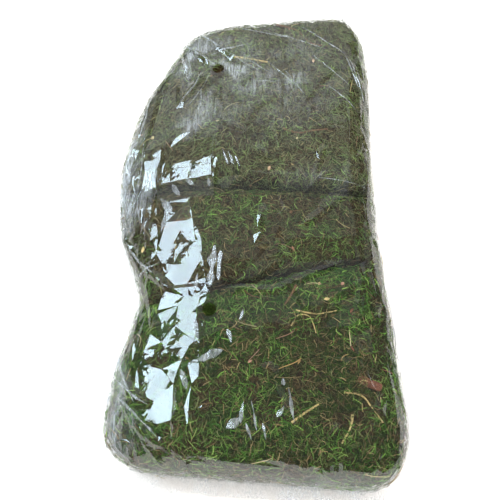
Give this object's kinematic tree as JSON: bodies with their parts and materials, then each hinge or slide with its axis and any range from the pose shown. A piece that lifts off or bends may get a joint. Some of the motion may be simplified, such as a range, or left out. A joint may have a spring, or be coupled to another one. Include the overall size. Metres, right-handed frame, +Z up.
{
  "type": "moss clump",
  "caption": "Bale of green sheet moss packed in a clear polythene bag with punched vents and welded ends, lying flat.",
  "frame": {"origin": "on the table under the middle of the bag's box", "axes": "+Z up, +Y along the bale towards its head end, +X towards its right-hand side"},
  "size_m": [0.2472, 0.496, 0.0885],
  "materials": {
    "film": "clear glossy polythene film",
    "moss": "matt, fresh green sheet moss",
    "moss_old": "matt, older olive and brown sheet moss",
    "straw": "dry pale straw",
    "twig": "dry brown twig",
    "bark": "dry reddish bark"
  },
  "bodies": {
    "root": {"bag_film": "film", "moss_head": "moss", "moss_middle": "moss_old", "moss_foot": "moss", "moss_under_head": "moss", "moss_under_foot": "moss_old", "straw_head": "straw", "twig_head": "twig", "twig_middle": "twig", "twig_slot": "twig", "needle_curled": "straw", "needle_straight": "straw", "straw_bent": "straw", "straw_foot": "straw", "straw_chip": "straw", "twig_foot": "twig", "bark_flake": "bark"}
  },
  "joints": []
}
